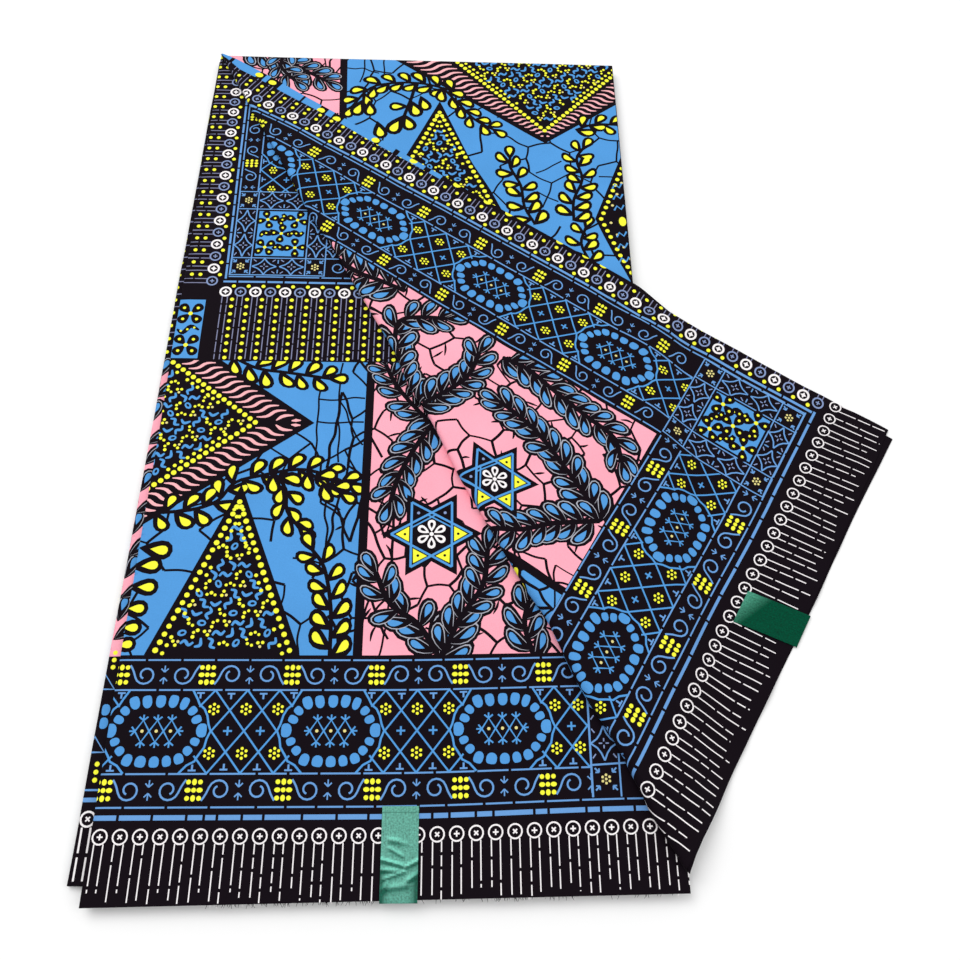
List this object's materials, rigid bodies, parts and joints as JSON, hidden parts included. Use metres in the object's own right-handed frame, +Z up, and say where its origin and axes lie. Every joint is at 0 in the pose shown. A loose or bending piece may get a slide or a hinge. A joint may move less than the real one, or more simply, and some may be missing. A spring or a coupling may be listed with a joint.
{
  "type": "folded ankara fabric",
  "caption": "Packet of wax-print cotton cloth folded flat, its top panel turned over along a diagonal so that one corner lies on the table.",
  "frame": {"origin": "on the table, at the centre of the underside of the whole object's box", "axes": "+Z up from the table, +Y from the selvedges in front to the centre fold at the back, +X to the right, where the turned corner points"},
  "size_m": [0.4664, 0.593, 0.0183],
  "materials": {
    "print_stack": "plain-woven cotton, wax printed in blue, pink and yellow on near black, faint sheen",
    "print_inner": "the same wax-printed cotton, blue and pink ground",
    "print_outer": "the same wax-printed cotton, near-black border and pink ground",
    "tape_green": "creased satin tape, blank, mid green",
    "tape_dark_green": "satin tape, blank, dark green"
  },
  "bodies": {
    "root": {"folded_stack": "print_stack", "turned_ply_inner": "print_inner", "turned_ply_outer": "print_outer", "tape_front": "tape_green", "tape_flap": "tape_dark_green"}
  },
  "joints": []
}
